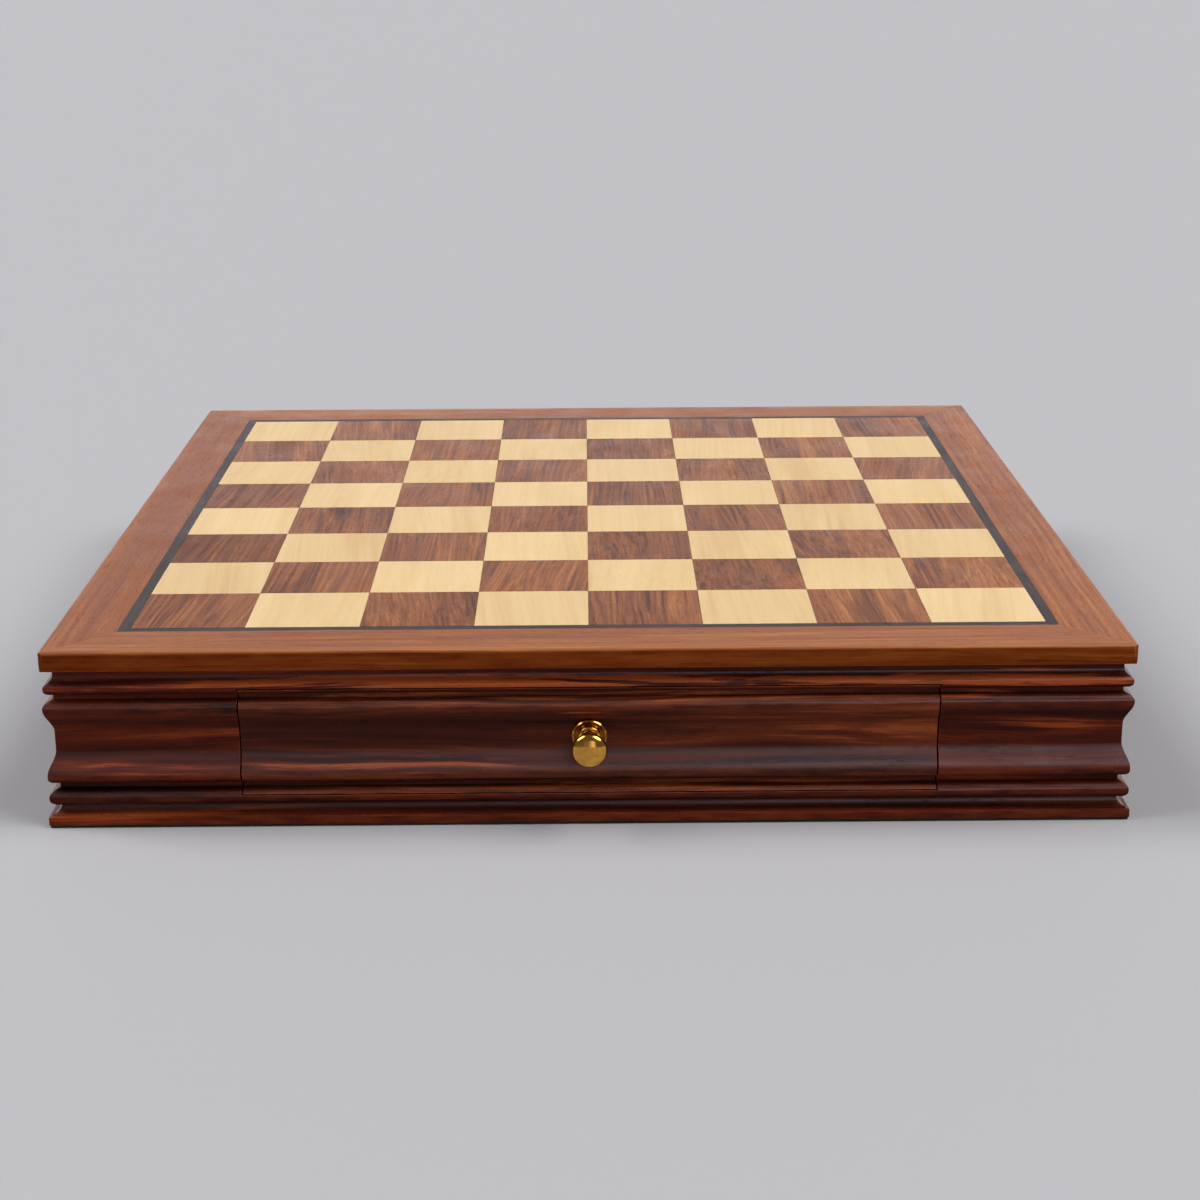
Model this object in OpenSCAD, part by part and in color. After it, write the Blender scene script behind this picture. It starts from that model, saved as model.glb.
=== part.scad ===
// Chess box with two storage drawers: an inlaid playing board on a moulded wooden case.
// Millimetres, +Z up, +Y to the back. The origin is the middle of the underside.

/* [Playing board] */
// Side of one playing square
square_w = 57; // [52:0.5:62]
// Thickness of the squares and of the inlay round them
square_t = 3; // [2:0.5:4]
// Width of the dark inlay round the squares
inlay_w = 5.5; // [3:0.5:8]
// Width of the mitred frame rails
rail_w = 32.5; // [28:0.5:40]
// Thickness of the whole board
board_t = 10; // [9.5:0.5:14]
// Radius on the long edges of the rails
edge_r = 1.4; // [0.6:0.2:2]
// Radius of the four corners, seen from above
corner_r = 3; // [1:0.5:5]
// How far the core's tongue reaches into the rails
tongue_l = 6; // [4:1:9]
// Thickness of the tongue
tongue_t = 3; // [2:0.5:4]
// Hairline of glue between neighbouring squares
glue_line = 0.1; // [0.05:0.05:0.3]

/* [Case] */
// Height of the moulded case between the felt and the board
case_h = 79.5; // [76:0.5:96]
// Thickness of the case boards, at the noses of their moulding
case_t = 20; // [18:0.5:24]
// Thickness of the base panel
base_t = 6; // [4:0.5:7]
// Width of the rebate that holds the base panel
base_rebate = 8; // [6:0.5:10]
// Thickness of the felt under the base
felt_t = 1.5; // [1:0.5:3]
// How far the felt stays back from the face of the plinth
felt_margin = 0.4; // [0.2:0.2:3]
// Thickness of the wall between the two drawers
wall_t = 9; // [6:1:14]
// Thickness of the guide boards beside the drawers
guide_t = 15; // [10:1:20]
// Width of the runners under the drawer sides and of the kickers over them
runner_w = 21; // [14:1:30]
// Height of the glue blocks in the corners
block_h = 25; // [18:1:32]
// Length of a glue block along the case side
block_l = 40; // [30:1:60]
// Width of a glue block, away from the case side
block_w = 24; // [16:1:30]

/* [Moulding, from the board down] */
// Depth of the plain neck under the board
neck_in = 5.4; // [3:0.2:6]
// Height of the plain neck
neck_h = 3.4; // [1.5:0.1:4]
// Depth of the quirks between the beads
quirk_in = 5.2; // [2.5:0.1:5.5]
// Depth of the wide cove
cove_in = 4.6; // [2.5:0.1:6]
// How far the top bead stays behind the faces of the rails
bead_in = 1.2; // [0:0.1:1.5]
// How far the noses under it stay behind the faces of the rails
nose_in = 0.4; // [0:0.1:1]
// Height of the top bead's upper slope
bead_rise = 4.7; // [4:0.1:7]
// Height of the top bead's flat nose
bead_nose = 1.7; // [1:0.1:3]
// Height of the top bead's round underside
bead_back = 3; // [2:0.1:5]
// Height of the quirk under the top bead
quirk_h = 2.6; // [1:0.1:3.5]
// Height of the round above the wide cove
lip_rise = 3.5; // [3:0.1:5]
// Height of the nose above the wide cove
lip_nose = 0.4; // [0.2:0.1:2]
// Height of the cove's upper curve
cove_top_h = 12.8; // [10:0.1:16]
// Height of the cove's lower curve
cove_foot_h = 12.8; // [8:0.1:14]
// Height of the nose under the wide cove
foot_nose = 1.2; // [0.6:0.1:3]
// Height of the underside below that nose
foot_back = 3.3; // [1.5:0.1:4.5]
// Height of the quirk above the low bead
low_quirk_h = 2.8; // [1.5:0.1:4]
// Height of the low bead's upper round
low_rise = 3.6; // [2:0.1:4]
// Height of the low bead's nose
low_nose = 1.1; // [0.6:0.1:3]
// Height of the low bead's underside
low_back = 4; // [2:0.1:5]
// Height of the small cove over the plinth
base_cove_h = 4.4; // [3:0.1:5]
// Height of the fillet on the plinth
fillet_h = 0.6; // [0.4:0.1:1]
// Height of the plinth
plinth_h = 4.3; // [3.5:0.1:8]
// How far the plinth stands proud of the faces of the rails
plinth_out = 0.5; // [0:0.1:1.5]

/* [Drawers] */
// Width of a drawer front
front_w = 341; // [300:1:360]
// Gap at each end of a drawer front
end_gap = 0.8; // [0.5:0.1:1.5]
// Gap above and below a drawer front
edge_gap = 0.6; // [0.4:0.1:1]
// Height of the case board above the opening
high_rail_h = 9.6; // [9:0.1:11]
// Height of the case board below the opening
low_rail_h = 14.7; // [14:0.1:16]
// Thickness of the drawer sides
side_t = 8; // [6:0.5:10]
// Thickness of the drawer back
back_t = 8; // [6:0.5:10]
// How far the sides are let into the drawer front
side_lap = 8; // [5:0.5:10]
// Gap between a drawer side and its guide
side_gap = 1.3; // [0.8:0.1:2]
// Running gap between a drawer and its runners
slide_gap = 0.3; // [0.2:0.1:0.6]
// Gap between a drawer side and its kicker
kick_gap = 1.4; // [0.8:0.1:2.5]
// Gap between a closed drawer and the middle wall
rear_gap = 0.5; // [0.3:0.1:2]
// Thickness of the drawer floor
floor_t = 4; // [3:0.5:5]
// Height of the drawer floor above the lower edge
floor_up = 3; // [2:0.5:5]
// Depth of the grooves that hold the drawer floor
groove_in = 4; // [3:0.5:5]
// Fit of the floor in its grooves
groove_fit = 0.2; // [0.1:0.1:0.4]
// Thickness of the drawer lining
lining_t = 1; // [0.5:0.5:2]
// Thickness of the divider slats
slat_t = 3; // [2:0.5:4]
// How far the slats stay below the top of the sides
slat_drop = 3.5; // [1:0.5:8]
// Fit of the slats in each other and between the sides
slat_fit = 0.2; // [0.1:0.1:0.4]
// Length of the short compartments, for the pawns
short_bay = 54; // [48:1:60]

/* [Brass knob] */
// How far the knob's axis lies above the middle of the wide cove
knob_up = 0.7; // [0:0.1:2]
// Diameter of the rosette
rosette_d = 17.3; // [15:0.1:20]
// Thickness of the rosette at its rim
rosette_t = 2.4; // [2:0.1:3]
// Width of the rosette's rim
rim_w = 0.9; // [0.5:0.1:1.5]
// Depth of the dish inside the rim
dish_in = 1; // [0.5:0.1:1.3]
// Gap round the rosette in its seat
seat_gap = 0.3; // [0.2:0.1:0.6]
// Diameter of the collar on the rosette
collar_d = 11.4; // [8.5:0.1:12]
// Length of the collar
collar_l = 2.6; // [2:0.1:4]
// Diameter of the knob's waist
waist_d = 7.2; // [6.6:0.1:8.4]
// Diameter of the knob's head
head_d = 17.3; // [14:0.1:19]
// Length of the knob's head
head_l = 8.6; // [7:0.1:14]
// Distance from the rosette's rim to the widest part of the head
head_reach = 18.2; // [16:0.1:22]

/* [Screws] */
// Shank diameter of the knob screw
knob_screw_d = 4; // [3:0.5:4.5]
// Head diameter of the knob screw
knob_screw_head_d = 8; // [7:0.5:9]
// Head height of the knob screw
knob_screw_head_h = 2.6; // [2:0.1:3]
// Depth of the recess for that head
head_recess = 3.4; // [3:0.1:5]
// Gap round that head in its recess
recess_gap = 1; // [0.5:0.1:2]
// Width and depth of the slot in that head
slot_w = 1; // [0.6:0.1:1.2]
// How far the knob screw reaches into the knob
knob_grip = 9; // [6:0.5:11]
// Shank diameter of the wood screws
wood_screw_d = 3.5; // [3:0.5:4]
// Head diameter of the wood screws
wood_screw_head_d = 7; // [6:0.5:8]
// Length of the screws in the base panel
base_screw_l = 18; // [14:1:20]
// How far the screws in the glue blocks reach into the board
board_grip = 6.5; // [5:0.5:7.5]
// Gap between a screw and its hole
screw_gap = 0.1; // [0.05:0.05:0.2]

/* [Hidden] */
$fn = 64;
tiny = 0.01;

// Sides of the box, counted anticlockwise
FRONT = 0;
RIGHT = 1;
BACK = 2;
LEFT = 3;

// Board: squares, inlay and rails from the middle outwards
ranks = 8;
field_w = ranks * square_w;
core_w = field_w + 2 * inlay_w;
board_w = core_w + 2 * rail_w;
half = board_w / 2;

// Levels above the table
case_z = felt_t;
base_top = case_z + base_t;
board_z = case_z + case_h;
core_top = board_z + board_t - square_t;
opening_z = case_z + low_rail_h;
opening_top = board_z - high_rail_h;

// Case: inner faces, opening, and what stands beside it
inner = half - case_t;
opening_w = front_w + 2 * end_gap;
guide_x = opening_w / 2;
far = board_w;

// Moulding: heights of its members from the top of the case down, the wide cove taking what is left
above_cove = neck_h + bead_rise + bead_nose + bead_back + quirk_h + lip_rise + lip_nose;
below_cove = foot_nose + foot_back + low_quirk_h + low_rise + low_nose + low_back
    + base_cove_h + fillet_h + plinth_h;
cove_h = case_h - above_cove - below_cove;
cove_z = board_z - above_cove;
knob_z = cove_z - cove_h / 2 + knob_up;

// Drawer box, for the drawer at the front
box_w = opening_w - 2 * side_gap;
box_in = box_w - 2 * side_t;
box_z = opening_z + slide_gap;
box_top = opening_top - kick_gap;
box_front = -inner;
box_rear = -wall_t / 2 - rear_gap;
back_face = box_rear - back_t;
bay_l = back_face - box_front;
floor_z = box_z + floor_up;
lining_z = floor_z + floor_t;
slat_z = lining_z + lining_t;
slat_top = box_top - slat_drop;
slat_mid = (slat_z + slat_top) / 2;

// Divider grid: two short bays in the middle, a long bay at each side, four rows deep
bays = 4;
row_pitch = (bay_l + slat_t) / bays;
long_slat_y = [for (i = [1:bays - 1]) box_front - slat_t / 2 + i * row_pitch];
cross_slat_x = [-(short_bay + slat_t), 0, short_bay + slat_t];

// Screws: height of a countersunk head, and places seen from above
screw_sink = (wood_screw_head_d - wood_screw_d) / 2;
base_screw_r = half - case_t + base_rebate / 2;
beside_guide = (guide_x + guide_t + inner) / 2;
base_screw_places = [
    for (s = [-1, 1], t = [-1, 1]) [s * beside_guide, t * base_screw_r],
    for (s = [-1, 1], t = [-1, 1]) [s * base_screw_r, t * beside_guide / 2]
];
block_z = board_z - block_h;
block_screw_x = (core_w + tongue_l) / 2;
block_screw_y = inner - block_l / 2;
board_screw_places = [for (s = [-1, 1], t = [-1, 1]) [s * block_screw_x, t * block_screw_y]];

// The point a share t of the way from a to b
function between(a, b, t) = a + (b - a) * t;

// Curve from a to b that leaves level and arrives upright
function swell(a, b, n = 6) = [
    for (i = [1:n])
        let (t = i / n)
            [between(a[0], b[0], sin(90 * t)), between(a[1], b[1], 1 - cos(90 * t))]
];

// Curve from a to b that leaves upright and arrives level
function tuck(a, b, n = 5) = [
    for (i = [1:n])
        let (t = i / n)
            [between(a[0], b[0], 1 - cos(90 * t)), between(a[1], b[1], sin(90 * t))]
];

// S-shaped curve from a to b, upright at both ends
function sway(a, b, n = 8) = [
    for (i = [1:n])
        let (t = i / n)
            [between(a[0], b[0], (1 - cos(180 * t)) / 2), between(a[1], b[1], t)]
];

// Outer face of the case boards, from the top down, as [depth behind the rails, height]
function moulding() =
    let (
        z1 = board_z - neck_h,
        z2 = z1 - bead_rise,
        z3 = z2 - bead_nose,
        z4 = z3 - bead_back,
        z5 = z4 - quirk_h,
        z6 = z5 - lip_rise,
        z7 = cove_z - cove_top_h,
        z8 = cove_z - cove_h + cove_foot_h,
        z9 = cove_z - cove_h,
        z10 = z9 - foot_nose,
        z11 = z10 - foot_back,
        z12 = z11 - low_quirk_h,
        z13 = z12 - low_rise,
        z14 = z13 - low_nose,
        z15 = z14 - low_back,
        z16 = z15 - base_cove_h,
        z17 = z16 - fillet_h
    )
    concat(
        [[neck_in, board_z], [neck_in, z1], [bead_in, z2], [bead_in, z3]],
        tuck([bead_in, z3], [quirk_in, z4]),
        [[quirk_in, z5]],
        swell([quirk_in, z5], [nose_in, z6]),
        [[nose_in, cove_z]],
        sway([nose_in, cove_z], [cove_in, z7]),
        [[cove_in, z8]],
        sway([cove_in, z8], [nose_in, z9]),
        [[nose_in, z10]],
        tuck([nose_in, z10], [quirk_in, z11], 3),
        [[quirk_in, z12]],
        swell([quirk_in, z12], [nose_in, z13]),
        [[nose_in, z14]],
        tuck([nose_in, z14], [quirk_in, z15], 4),
        tuck([quirk_in, z15], [bead_in, z16]),
        [[bead_in, z17], [-plinth_out, z17 - fillet_h / 2], [-plinth_out, case_z]]
    );

// Stock with the section [depth, height], laid along the front edge and cut square at each end
module front_stock(section, length) {
    rotate([90, 0, 90])
        linear_extrude(length, center = true)
            polygon([for (p = section) [p[0] - half, p[1]]]);
}

// Cuts stock that lies along the front to the mitres at both ends
module mitred() {
    intersection() {
        children();
        linear_extrude(2 * far)
            polygon([[0, 0], [-far, -far], [far, -far]]);
    }
}

// Turns a piece made for the front to one of the four sides, counted anticlockwise
module to_side(k) {
    rotate([0, 0, 90 * k])
        children();
}

module block_at(low, high) {
    translate(low)
        cube(high - low);
}

// Keeps a piece made for the right, or mirrors it to the left when s is -1
module on_side(s) {
    mirror([s < 0 ? 1 : 0, 0, 0])
        children();
}

// Keeps a piece made for the back, or mirrors it to the front when t is -1
module on_end(t) {
    mirror([0, t < 0 ? 1 : 0, 0])
        children();
}

// Box that is centred on x = 0
module centred_block(width, low_y, high_y, low_z, high_z) {
    block_at([-width / 2, low_y, low_z], [width / 2, high_y, high_z]);
}

// Countersunk wood screw that points up, with its head at the origin
module wood_screw(length) {
    rotate_extrude()
        polygon([
            [0, 0], [wood_screw_head_d / 2, 0], [wood_screw_d / 2, screw_sink],
            [wood_screw_d / 2, length - screw_sink], [0, length]
        ]);
}

// Hole for that screw, countersunk at its lower end
module wood_screw_hole(length) {
    bore_r = wood_screw_d / 2 + screw_gap;
    mouth_r = wood_screw_head_d / 2 + screw_gap;
    rotate_extrude()
        polygon([
            [0, -tiny], [mouth_r, -tiny], [mouth_r, 0], [bore_r, screw_sink],
            [bore_r, length + screw_gap], [0, length + screw_gap]
        ]);
}

module base_screw_holes() {
    for (p = base_screw_places)
        translate([p[0], p[1], case_z])
            wood_screw_hole(base_screw_l);
}

module board_screw_holes() {
    for (p = board_screw_places)
        translate([p[0], p[1], block_z])
            wood_screw_hole(block_h + board_grip);
}

// Upright with four round corners, as large as the board
module corner_round() {
    straight = board_w - 2 * corner_r;
    for (size = [[board_w, straight], [straight, board_w]])
        centred_block(size[0], -size[1] / 2, size[1] / 2, 0, far);
    for (s = [-1, 1], t = [-1, 1])
        translate([s * straight / 2, t * straight / 2, 0])
            cylinder(h = far, r = corner_r);
}

// One frame rail: rounded outer edges, and a groove for the tongue of the core
module rail(k) {
    top = board_z + board_t;
    tongue_z = board_z + (core_top - board_z - tongue_t) / 2;
    steps = 5;
    section = concat(
        [[rail_w, board_z], [edge_r, board_z]],
        swell([edge_r, board_z], [0, board_z + edge_r], steps),
        [[0, top - edge_r]],
        tuck([0, top - edge_r], [edge_r, top], steps),
        [
            [rail_w, top],
            [rail_w, tongue_z + tongue_t], [rail_w - tongue_l, tongue_z + tongue_t],
            [rail_w - tongue_l, tongue_z], [rail_w, tongue_z]
        ]
    );
    color("#a0684a")
        difference() {
            intersection() {
                to_side(k)
                    mitred()
                        front_stock(section, board_w);
                corner_round();
            }
            board_screw_holes();
        }
}

// One strip of the dark inlay, with mitred ends
module inlay(k) {
    low = -core_w / 2;
    color("#4a4040")
        to_side(k)
            mitred()
                centred_block(core_w, low, low + inlay_w - glue_line, core_top, core_top + square_t);
}

// The squares of one colour; parity 0 gives the colour of the front left corner
module squares(parity) {
    side = square_w - glue_line;
    start = (glue_line - field_w) / 2;
    for (i = [0:ranks - 1], j = [0:ranks - 1])
        if ((i + j) % 2 == parity)
            translate([start + i * square_w, start + j * square_w, core_top])
                cube([side, side, square_t]);
}

module light_squares() {
    color("#f0cc9d")
        squares(1);
}

module dark_squares() {
    color("#8c5f49")
        squares(0);
}

// Stable panel under the squares, with a tongue all round
module board_core() {
    tongue_w = core_w + 2 * tongue_l;
    tongue_z = board_z + (core_top - board_z - tongue_t) / 2;
    color("#c9a36b")
        difference() {
            union() {
                centred_block(core_w, -core_w / 2, core_w / 2, board_z, core_top);
                centred_block(tongue_w, -tongue_w / 2, tongue_w / 2, tongue_z, tongue_z + tongue_t);
            }
            board_screw_holes();
        }
}

// Section of a case board: the moulding outside, a rebate for the base panel inside
function case_section() = concat(
    moulding(),
    [[case_t - base_rebate, case_z], [case_t - base_rebate, base_top]],
    [[case_t, base_top], [case_t, board_z]]
);

// One board of the case, with the pilot holes for the screws in the base panel
module case_board(k) {
    color("#5a2a18")
        difference() {
            to_side(k)
                mitred()
                    front_stock(case_section(), board_w + 2 * plinth_out);
            base_screw_holes();
        }
}

// Case board with the opening for its drawer
module open_case_board(k) {
    color("#5a2a18")
        difference() {
            case_board(k);
            to_side(k)
                centred_block(opening_w, -far, tiny - inner, opening_z, opening_top);
        }
}

// Thin panel that closes the case from below, let into the rebates
module base_panel() {
    width = 2 * (inner + base_rebate);
    color("#b08a58")
        difference() {
            centred_block(width, -width / 2, width / 2, case_z, base_top);
            base_screw_holes();
        }
}

module base_felt() {
    width = board_w + 2 * (plinth_out - felt_margin);
    color("#27352a")
        centred_block(width, -width / 2, width / 2, 0, felt_t);
}

// Upright board between the two drawers; each drawer closes against it
module middle_wall() {
    color("#a97f52")
        centred_block(opening_w, -wall_t / 2, wall_t / 2, base_top, board_z);
}

// Upright board from front to back that keeps both drawers straight; s is its side
module guide(s) {
    color("#a97f52")
        on_side(s)
            block_at([guide_x, -inner, base_top], [guide_x + guide_t, inner, board_z]);
}

// Strip along a guide, from the case board to the middle wall; s is its side, t the front or the back
module strip(s, t, low_z, high_z) {
    color("#c08f5c")
        on_side(s)
            on_end(t)
                block_at([guide_x - runner_w, wall_t / 2, low_z], [guide_x, inner, high_z]);
}

module runner(s, t) {
    strip(s, t, base_top, opening_z);
}

module kicker(s, t) {
    strip(s, t, opening_top, board_z);
}

// Block glued into a corner of the case, through which the board is screwed on
module corner_block(s, t) {
    color("#b8905e")
        difference() {
            on_side(s)
                on_end(t)
                    block_at([inner - block_w, inner - block_l, block_z], [inner, inner, board_z]);
            board_screw_holes();
        }
}

module board_screws() {
    color("#b9bcc0")
        for (p = board_screw_places)
            translate([p[0], p[1], block_z])
                wood_screw(block_h + board_grip);
}

module base_screws() {
    color("#b9bcc0")
        for (p = base_screw_places)
            translate([p[0], p[1], case_z])
                wood_screw(base_screw_l);
}

// Moulded board that fills the opening; the sides are let into its ends, the floor into its groove
module drawer_face() {
    low = opening_z + edge_gap;
    high = opening_top - edge_gap;
    seat_d = rosette_d + 2 * seat_gap;
    color("#4c2013")
        difference() {
            intersection() {
                front_stock(case_section(), front_w);
                centred_block(front_w, -far, box_front, low, high);
            }
            for (s = [-1, 1])
                on_side(s)
                    block_at([box_w / 2 - side_t, box_front - side_lap, case_z], [far, far, board_z]);
            centred_block(box_in, box_front - groove_in, far, floor_z, lining_z);
            on_knob_axis() {
                cylinder(h = case_t, d = seat_d);
                translate([0, 0, -case_t])
                    cylinder(h = 2 * case_t, d = knob_screw_d + 2 * screw_gap);
                translate([0, 0, -case_t])
                    cylinder(h = cove_in + head_recess, d = knob_screw_head_d + 2 * recess_gap);
            }
        }
}

// Drawer side with the groove for the floor; s is its side
module drawer_side(s) {
    color("#b5875a")
        difference() {
            on_side(s)
                block_at([box_in / 2, box_front - side_lap, box_z], [box_w / 2, box_rear, box_top]);
            centred_block(box_in + 2 * groove_in, -far, far, floor_z, lining_z);
        }
}

// Drawer back: it stands on the floor, between the sides
module drawer_back() {
    color("#b5875a")
        centred_block(box_in, back_face, box_rear, lining_z, box_top);
}

module drawer_floor() {
    width = box_in + 2 * (groove_in - groove_fit);
    color("#c9a36b")
        union() {
            centred_block(width, box_front, box_rear, floor_z, lining_z);
            centred_block(box_in, box_front - groove_in + groove_fit, box_rear, floor_z, lining_z);
        }
}

module drawer_lining() {
    color("#2f5a3c")
        centred_block(box_in, box_front, back_face, lining_z, slat_z);
}

// The three slats that run from side to side, notched from above where the others cross them
module long_slats() {
    color("#c9a36b")
        for (y = long_slat_y)
            difference() {
                centred_block(box_in - 2 * slat_fit, y - slat_t / 2, y + slat_t / 2, slat_z, slat_top);
                for (x = cross_slat_x)
                    block_at([x - slat_t / 2 - slat_fit, y - slat_t, slat_mid],
                        [x + slat_t / 2 + slat_fit, y + slat_t, box_top]);
            }
}

// The three slats that run from front to back, notched from below
module cross_slats() {
    color("#c9a36b")
        for (x = cross_slat_x)
            difference() {
                block_at([x - slat_t / 2, box_front + slat_fit, slat_z],
                    [x + slat_t / 2, back_face - slat_fit, slat_top]);
                for (y = long_slat_y)
                    block_at([x - slat_t, y - slat_t / 2 - slat_fit, 0],
                        [x + slat_t, y + slat_t / 2 + slat_fit, slat_mid]);
            }
}

// Turns a round piece, drawn as [radius, distance out], onto the knob's axis
module on_knob_axis() {
    translate([0, -half + cove_in, knob_z])
        rotate([90, 0, 0])
            children();
}

// Thin round plate with a raised rim and a dished face
module rosette() {
    steps = 6;
    rim_r = rosette_d / 2 - rim_w;
    seat_r = collar_d / 2;
    bore_r = knob_screw_d / 2 + screw_gap;
    color("#d9a63a")
        on_knob_axis()
            rotate_extrude()
                polygon(concat(
                    [[bore_r, 0], [rosette_d / 2, 0], [rosette_d / 2, rosette_t], [rim_r, rosette_t]],
                    [
                        for (i = [1:steps])
                            let (t = i / steps)
                                [between(rim_r, seat_r, t), rosette_t - dish_in * sin(90 * t)]
                    ],
                    [[bore_r, rosette_t - dish_in]]
                ));
}

// Turned knob: a collar, a waist and a flattened ball, drilled from behind for its screw
module knob() {
    foot = rosette_t - dish_in;
    bore_r = knob_screw_d / 2 + screw_gap;
    centre = rosette_t + head_reach;
    neck_r = (collar_d - collar_l) / 2;
    collar_top = foot + collar_l;
    waist_end = (collar_top + centre - head_l / 2) / 2;
    steps = 12;
    color("#d9a63a")
        on_knob_axis()
            difference() {
                rotate_extrude()
                    polygon(concat(
                        [[0, foot], [neck_r, foot]],
                        swell([neck_r, foot], [collar_d / 2, foot + collar_l / 2]),
                        tuck([collar_d / 2, foot + collar_l / 2], [neck_r, collar_top]),
                        tuck([neck_r, collar_top], [waist_d / 2, waist_end]),
                        [
                            for (i = [0:steps])
                                let (a = between(asin(waist_d / head_d), 180, i / steps))
                                    [head_d / 2 * sin(a), centre - head_l / 2 * cos(a)]
                        ]
                    ));
                cylinder(h = foot + knob_grip + screw_gap + collar_l, r = bore_r);
            }
}

// Slotted machine screw that holds the knob from inside the drawer
module knob_screw() {
    inside = case_t - cove_in - head_recess;
    reach = rosette_t - dish_in + knob_grip + collar_l;
    color("#b9bcc0")
        on_knob_axis()
            difference() {
                union() {
                    translate([0, 0, -inside])
                        cylinder(h = inside + reach, d = knob_screw_d);
                    translate([0, 0, -inside - knob_screw_head_h])
                        cylinder(h = knob_screw_head_h, d = knob_screw_head_d);
                }
                translate([-knob_screw_head_d, -slot_w / 2, -inside - knob_screw_head_h - slot_w])
                    cube([2 * knob_screw_head_d, slot_w, 2 * slot_w]);
            }
}

module behind() {
    rotate([0, 0, 180])
        children();
}

rail(FRONT);  // front_rail
rail(BACK);  // back_rail
rail(LEFT);  // left_rail
rail(RIGHT);  // right_rail
inlay(FRONT);  // front_inlay
inlay(BACK);  // back_inlay
inlay(LEFT);  // left_inlay
inlay(RIGHT);  // right_inlay
board_core();
light_squares();
dark_squares();
open_case_board(FRONT);  // front_panel
open_case_board(BACK);  // back_panel
case_board(LEFT);  // left_panel
case_board(RIGHT);  // right_panel
base_panel();
base_felt();
middle_wall();
guide(-1);  // left_guide
guide(1);  // right_guide
runner(-1, -1);  // front_left_runner
runner(1, -1);  // front_right_runner
runner(-1, 1);  // back_left_runner
runner(1, 1);  // back_right_runner
kicker(-1, -1);  // front_left_kicker
kicker(1, -1);  // front_right_kicker
kicker(-1, 1);  // back_left_kicker
kicker(1, 1);  // back_right_kicker
corner_block(-1, -1);  // front_left_block
corner_block(1, -1);  // front_right_block
corner_block(-1, 1);  // back_left_block
corner_block(1, 1);  // back_right_block
board_screws();
base_screws();
drawer_face();  // front_drawer_face
drawer_side(-1);  // front_drawer_left_side
drawer_side(1);  // front_drawer_right_side
drawer_back();  // front_drawer_back
drawer_floor();  // front_drawer_floor
drawer_lining();  // front_drawer_lining
long_slats();  // front_drawer_long_slats
cross_slats();  // front_drawer_cross_slats
rosette();  // front_drawer_rosette
knob();  // front_drawer_knob
knob_screw();  // front_drawer_knob_screw
behind() drawer_face();  // back_drawer_face
behind() drawer_side(-1);  // back_drawer_left_side
behind() drawer_side(1);  // back_drawer_right_side
behind() drawer_back();  // back_drawer_back
behind() drawer_floor();  // back_drawer_floor
behind() drawer_lining();  // back_drawer_lining
behind() long_slats();  // back_drawer_long_slats
behind() cross_slats();  // back_drawer_cross_slats
behind() rosette();  // back_drawer_rosette
behind() knob();  // back_drawer_knob
behind() knob_screw();  // back_drawer_knob_screw
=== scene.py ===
"""Chess box with two drawers: an inlaid board on a moulded case, in metres, with the front towards -Y."""

import random
from math import pi, radians

import bmesh
import bpy
from mathutils import Euler, Matrix, Vector, noise
from mathutils.geometry import interpolate_bezier


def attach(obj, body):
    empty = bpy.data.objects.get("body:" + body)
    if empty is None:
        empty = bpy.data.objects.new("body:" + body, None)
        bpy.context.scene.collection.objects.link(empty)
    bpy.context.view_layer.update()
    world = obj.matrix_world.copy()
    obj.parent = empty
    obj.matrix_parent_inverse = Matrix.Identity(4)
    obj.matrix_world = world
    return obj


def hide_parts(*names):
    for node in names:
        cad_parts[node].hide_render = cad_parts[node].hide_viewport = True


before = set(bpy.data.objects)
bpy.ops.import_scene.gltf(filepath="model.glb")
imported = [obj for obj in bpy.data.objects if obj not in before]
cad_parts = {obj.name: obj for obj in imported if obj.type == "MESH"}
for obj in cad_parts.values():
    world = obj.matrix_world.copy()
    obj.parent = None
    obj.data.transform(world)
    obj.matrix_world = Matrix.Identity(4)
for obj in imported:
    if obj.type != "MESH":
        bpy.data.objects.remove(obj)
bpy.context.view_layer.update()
mm = 0.001


# ---------------------------------------------------------------- Felt under the case
# One sheet of dark green wool felt, glued to the base panel and the plinth so that the box
# doesn't scratch the table. It is cut with shears just inside the plinth, so its edge wanders.
half = 266 * mm  # from the middle of the box to the outer face of the board's rails
plinth_out = 0.5 * mm
felt_t = 1.5 * mm
felt_margin = 0.4 * mm


def add_node(tree, kind, inputs=None, **options):
    """Adds one shader node. An input is a plain value or another node's output."""
    node = tree.nodes.new("ShaderNode" + kind)
    for option, value in options.items():
        setattr(node, option, value)
    for socket, value in (inputs or {}).items():
        if isinstance(value, bpy.types.NodeSocket):
            tree.links.new(value, node.inputs[socket])
        else:
            node.inputs[socket].default_value = value
    return node


def tint(red, green, blue):
    """A colour given from 0 to 255 as a screen shows it, as the shader's linear colour."""
    linear = [(c / 255 / 12.92 if c < 11 else ((c / 255 + 0.055) / 1.055) ** 2.4) for c in (red, green, blue)]
    return (*linear, 1.0)


def blended(tree, share, first, second, way="MIX"):
    """Lays the second colour over the first by that share."""
    mix = add_node(tree, "Mix", {0: share, 6: first, 7: second}, data_type="RGBA", blend_type=way)
    return mix.outputs[2]


def figured(tree, value, low, high, to_low=0.0, to_high=1.0):
    """A noise's value stretched from low..high to to_low..to_high, and held there."""
    spread = {"Value": value, "From Min": low, "From Max": high, "To Min": to_low, "To Max": to_high}
    return add_node(tree, "MapRange", spread).outputs[0]


def blank_finish(name):
    """A new material, with its node tree and its shader."""
    finish = bpy.data.materials.new(name)
    finish.use_nodes = True
    tree = finish.node_tree
    return finish, tree, tree.nodes["Principled BSDF"]


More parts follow.
